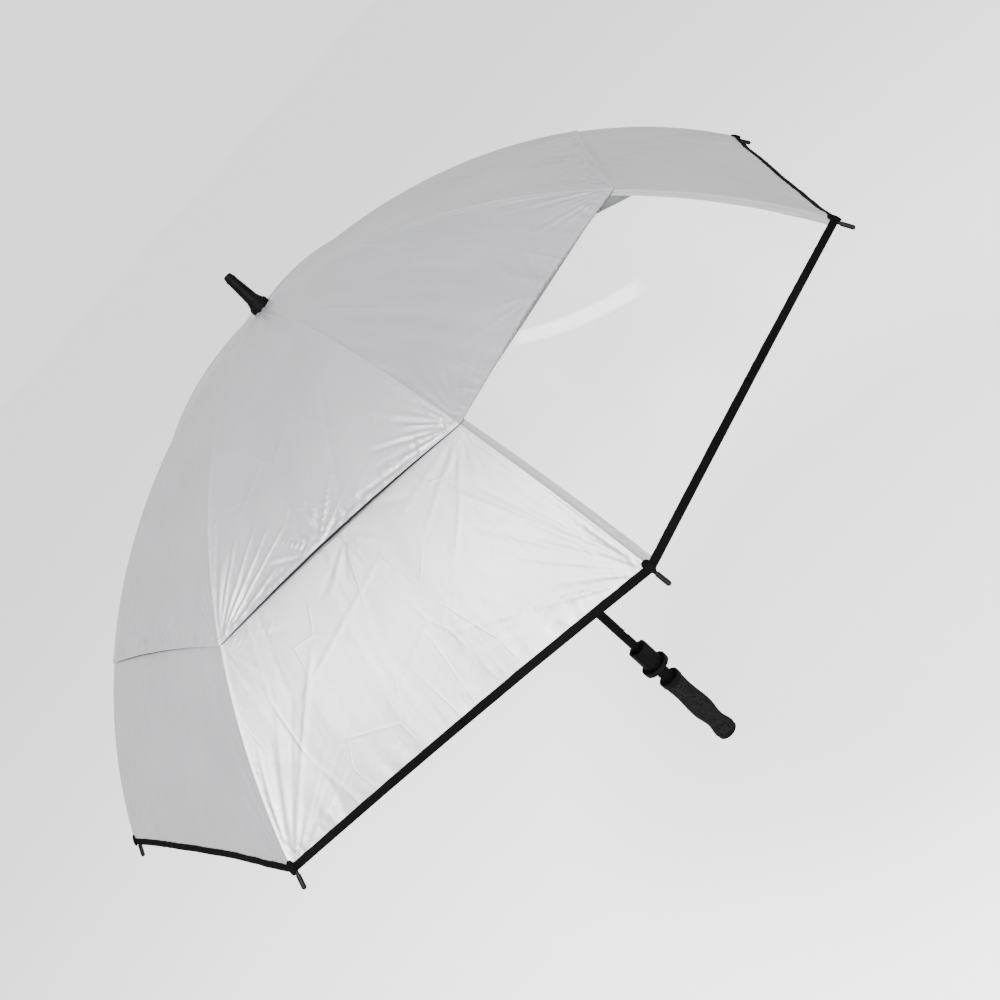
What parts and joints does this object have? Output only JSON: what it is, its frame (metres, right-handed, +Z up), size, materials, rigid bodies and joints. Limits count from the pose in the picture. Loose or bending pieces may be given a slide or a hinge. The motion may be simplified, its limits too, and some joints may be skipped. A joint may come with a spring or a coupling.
{
  "type": "double-canopy golf umbrella",
  "caption": "Open double-canopy umbrella with a silver vented canopy, one clear window gore, black rim binding, black shaft and contoured foam grip.",
  "frame": {"origin": "centre of the flat underside of the handle butt, on the shaft's axis", "axes": "+Z up the shaft to the ferrule; +X towards rib 1; the clear window gore faces between +X and -Y, centred 67.5 degrees from +X towards -Y"},
  "size_m": [1.2934, 1.2934, 1.006],
  "materials": {
    "silver_fabric": "silver-coated satin weave, black on the inside",
    "clear_pvc": "clear flexible sheet",
    "black_binding": "folded black tape, stitched",
    "black_plastic": "moulded black, fine grain",
    "black_shaft": "satin black",
    "fibreglass": "pultruded black rod",
    "steel_wire": "drawn wire",
    "eva_foam": "closed-cell foam, fine pores"
  },
  "bodies": {
    "shaft": {"shaft_tube": "black_shaft", "ferrule_spike": "black_plastic", "ferrule_collar": "black_plastic", "apex_washer": "silver_fabric", "top_notch": "black_plastic", "notch_wire": "steel_wire", "tip_seat": "black_plastic", "tip_cup": "black_plastic", "threaded_neck": "black_plastic", "grip_cup": "black_plastic", "foam_grip": "eva_foam", "butt_cap": "black_plastic"},
    "rib_1": {"rib_inner_1": "fibreglass", "canopy_upper_1": "silver_fabric"},
    "rib_end_1": {"rib_outer_1": "fibreglass", "canopy_lower_1": "silver_fabric"},
    "strut_1": {"stretcher_1": "fibreglass"},
    "rib_2": {"rib_inner_2": "fibreglass", "canopy_upper_2": "silver_fabric"},
    "rib_end_2": {"rib_outer_2": "fibreglass", "canopy_lower_2": "clear_pvc"},
    "strut_2": {"stretcher_2": "fibreglass"},
    "rib_3": {"rib_inner_3": "fibreglass", "canopy_upper_3": "silver_fabric"},
    "rib_end_3": {"rib_outer_3": "fibreglass", "canopy_lower_3": "silver_fabric"},
    "strut_3": {"stretcher_3": "fibreglass"},
    "rib_4": {"rib_inner_4": "fibreglass", "canopy_upper_4": "silver_fabric"},
    "rib_end_4": {"rib_outer_4": "fibreglass", "canopy_lower_4": "silver_fabric"},
    "strut_4": {"stretcher_4": "fibreglass"},
    "rib_5": {"rib_inner_5": "fibreglass", "canopy_upper_5": "silver_fabric"},
    "rib_end_5": {"rib_outer_5": "fibreglass", "canopy_lower_5": "silver_fabric"},
    "strut_5": {"stretcher_5": "fibreglass"},
    "rib_6": {"rib_inner_6": "fibreglass", "canopy_upper_6": "silver_fabric"},
    "rib_end_6": {"rib_outer_6": "fibreglass", "canopy_lower_6": "silver_fabric"},
    "strut_6": {"stretcher_6": "fibreglass"},
    "rib_7": {"rib_inner_7": "fibreglass", "canopy_upper_7": "silver_fabric"},
    "rib_end_7": {"rib_outer_7": "fibreglass", "canopy_lower_7": "silver_fabric"},
    "strut_7": {"stretcher_7": "fibreglass"},
    "rib_8": {"rib_inner_8": "fibreglass", "canopy_upper_8": "silver_fabric"},
    "rib_end_8": {"rib_outer_8": "fibreglass", "canopy_lower_8": "silver_fabric"},
    "strut_8": {"stretcher_8": "fibreglass"},
    "runner": {"runner": "black_plastic", "runner_wire": "steel_wire"},
    "top_catch": {"top_catch": "steel_wire"},
    "lower_catch": {"lower_catch": "steel_wire"}
  },
  "joints": [
    {"name": "rib_fold_1", "type": "hinge", "parent": "shaft", "child": "rib_1", "pos_m": [0.012, 0, 0.9375], "axis": [0, 1, 0], "range_deg": [0, 72.62], "deforming": ["canopy_upper_1", "canopy_lower_1", "top_catch", "lower_catch"]},
    {"name": "rib_fold_2", "type": "hinge", "parent": "shaft", "child": "rib_2", "pos_m": [0.00848, -0.00848, 0.9375], "axis": [0.7071, 0.7071, 0], "range_deg": [0, 72.62], "deforming": ["canopy_upper_2", "canopy_lower_2"]},
    {"name": "rib_fold_3", "type": "hinge", "parent": "shaft", "child": "rib_3", "pos_m": [0, -0.012, 0.9375], "axis": [1, 0, 0], "range_deg": [0, 72.62], "deforming": ["canopy_upper_3", "canopy_lower_3"]},
    {"name": "rib_fold_4", "type": "hinge", "parent": "shaft", "child": "rib_4", "pos_m": [-0.00848, -0.00848, 0.9375], "axis": [0.7071, -0.7071, 0], "range_deg": [0, 72.62], "deforming": ["canopy_upper_4", "canopy_lower_4"]},
    {"name": "rib_fold_5", "type": "hinge", "parent": "shaft", "child": "rib_5", "pos_m": [-0.012, 0, 0.9375], "axis": [0, -1, 0], "range_deg": [0, 72.62], "deforming": ["canopy_upper_5", "canopy_lower_5"]},
    {"name": "rib_fold_6", "type": "hinge", "parent": "shaft", "child": "rib_6", "pos_m": [-0.00848, 0.00848, 0.9375], "axis": [-0.7071, -0.7071, 0], "range_deg": [0, 72.62], "deforming": ["canopy_upper_6", "canopy_lower_6"]},
    {"name": "rib_fold_7", "type": "hinge", "parent": "shaft", "child": "rib_7", "pos_m": [0, 0.012, 0.9375], "axis": [-1, 0, 0], "range_deg": [0, 72.62], "deforming": ["canopy_upper_7", "canopy_lower_7"]},
    {"name": "rib_fold_8", "type": "hinge", "parent": "shaft", "child": "rib_8", "pos_m": [0.00848, 0.00848, 0.9375], "axis": [-0.7071, 0.7071, 0], "range_deg": [0, 72.62], "deforming": ["canopy_upper_8", "canopy_lower_8"]},
    {"name": "rib_flex_1", "type": "hinge", "parent": "rib_1", "child": "rib_end_1", "pos_m": [0.34463, 0, 0.85866], "axis": [0, 1, 0], "range_deg": [-22.09, 0]},
    {"name": "rib_flex_2", "type": "hinge", "parent": "rib_2", "child": "rib_end_2", "pos_m": [0.24369, -0.24369, 0.85866], "axis": [0.7071, 0.7071, 0], "range_deg": [-22.09, 0]},
    {"name": "rib_flex_3", "type": "hinge", "parent": "rib_3", "child": "rib_end_3", "pos_m": [0, -0.34463, 0.85866], "axis": [1, 0, 0], "range_deg": [-22.09, 0]},
    {"name": "rib_flex_4", "type": "hinge", "parent": "rib_4", "child": "rib_end_4", "pos_m": [-0.24369, -0.24369, 0.85866], "axis": [0.7071, -0.7071, 0], "range_deg": [-22.09, 0]},
    {"name": "rib_flex_5", "type": "hinge", "parent": "rib_5", "child": "rib_end_5", "pos_m": [-0.34463, 0, 0.85866], "axis": [0, -1, 0], "range_deg": [-22.09, 0]},
    {"name": "rib_flex_6", "type": "hinge", "parent": "rib_6", "child": "rib_end_6", "pos_m": [-0.24369, 0.24369, 0.85866], "axis": [-0.7071, -0.7071, 0], "range_deg": [-22.09, 0]},
    {"name": "rib_flex_7", "type": "hinge", "parent": "rib_7", "child": "rib_end_7", "pos_m": [0, 0.34463, 0.85866], "axis": [-1, 0, 0], "range_deg": [-22.09, 0]},
    {"name": "rib_flex_8", "type": "hinge", "parent": "rib_8", "child": "rib_end_8", "pos_m": [0.24369, 0.24369, 0.85866], "axis": [-0.7071, 0.7071, 0], "range_deg": [-22.09, 0]},
    {"name": "strut_pivot_1", "type": "hinge", "parent": "rib_1", "child": "strut_1", "pos_m": [0.34175, 0, 0.85294], "axis": [0, 1, 0], "range_deg": [-145.34, 0]},
    {"name": "strut_pivot_2", "type": "hinge", "parent": "rib_2", "child": "strut_2", "pos_m": [0.24166, -0.24166, 0.85294], "axis": [0.7071, 0.7071, 0], "range_deg": [-145.34, 0]},
    {"name": "strut_pivot_3", "type": "hinge", "parent": "rib_3", "child": "strut_3", "pos_m": [0, -0.34175, 0.85294], "axis": [1, 0, 0], "range_deg": [-145.34, 0]},
    {"name": "strut_pivot_4", "type": "hinge", "parent": "rib_4", "child": "strut_4", "pos_m": [-0.24166, -0.24166, 0.85294], "axis": [0.7071, -0.7071, 0], "range_deg": [-145.34, 0]},
    {"name": "strut_pivot_5", "type": "hinge", "parent": "rib_5", "child": "strut_5", "pos_m": [-0.34175, 0, 0.85294], "axis": [0, -1, 0], "range_deg": [-145.34, 0]},
    {"name": "strut_pivot_6", "type": "hinge", "parent": "rib_6", "child": "strut_6", "pos_m": [-0.24166, 0.24166, 0.85294], "axis": [-0.7071, -0.7071, 0], "range_deg": [-145.34, 0]},
    {"name": "strut_pivot_7", "type": "hinge", "parent": "rib_7", "child": "strut_7", "pos_m": [0, 0.34175, 0.85294], "axis": [-1, 0, 0], "range_deg": [-145.34, 0]},
    {"name": "strut_pivot_8", "type": "hinge", "parent": "rib_8", "child": "strut_8", "pos_m": [0.24166, 0.24166, 0.85294], "axis": [-0.7071, 0.7071, 0], "range_deg": [-145.34, 0]},
    {"name": "runner_pivot", "type": "hinge", "parent": "strut_1", "child": "runner", "pos_m": [0.012, 0, 0.76838], "axis": [0, 1, 0], "range_deg": [0, 72.72]},
    {"name": "top_catch_press", "type": "slide", "parent": "shaft", "child": "top_catch", "axis": [-0.9239, 0.3827, 0], "range_m": [0, 0.0036], "stiffness_N_per_m": 900},
    {"name": "lower_catch_press", "type": "slide", "parent": "shaft", "child": "lower_catch", "axis": [-0.9239, 0.3827, 0], "range_m": [0, 0.0036], "stiffness_N_per_m": 900}
  ],
  "couplings": [
    {"joint": "rib_flex_1", "follows": "rib_fold_1", "ratio": -0.3028},
    {"joint": "rib_flex_2", "follows": "rib_fold_1", "ratio": -0.3028},
    {"joint": "rib_flex_3", "follows": "rib_fold_1", "ratio": -0.3028},
    {"joint": "rib_flex_4", "follows": "rib_fold_1", "ratio": -0.3028},
    {"joint": "rib_flex_5", "follows": "rib_fold_1", "ratio": -0.3028},
    {"joint": "rib_flex_6", "follows": "rib_fold_1", "ratio": -0.3028},
    {"joint": "rib_flex_7", "follows": "rib_fold_1", "ratio": -0.3028},
    {"joint": "rib_flex_8", "follows": "rib_fold_1", "ratio": -0.3028},
    {"joint": "strut_pivot_1", "follows": "rib_fold_1", "ratio": -2},
    {"joint": "strut_pivot_2", "follows": "rib_fold_1", "ratio": -2},
    {"joint": "strut_pivot_3", "follows": "rib_fold_1", "ratio": -2},
    {"joint": "strut_pivot_4", "follows": "rib_fold_1", "ratio": -2},
    {"joint": "strut_pivot_5", "follows": "rib_fold_1", "ratio": -2},
    {"joint": "strut_pivot_6", "follows": "rib_fold_1", "ratio": -2},
    {"joint": "strut_pivot_7", "follows": "rib_fold_1", "ratio": -2},
    {"joint": "strut_pivot_8", "follows": "rib_fold_1", "ratio": -2},
    {"joint": "rib_fold_2", "follows": "rib_fold_1", "ratio": 1},
    {"joint": "rib_fold_3", "follows": "rib_fold_1", "ratio": 1},
    {"joint": "rib_fold_4", "follows": "rib_fold_1", "ratio": 1},
    {"joint": "rib_fold_5", "follows": "rib_fold_1", "ratio": 1},
    {"joint": "rib_fold_6", "follows": "rib_fold_1", "ratio": 1},
    {"joint": "rib_fold_7", "follows": "rib_fold_1", "ratio": 1},
    {"joint": "rib_fold_8", "follows": "rib_fold_1", "ratio": 1},
    {"joint": "runner_pivot", "follows": "rib_fold_1", "ratio": 1}
  ]
}
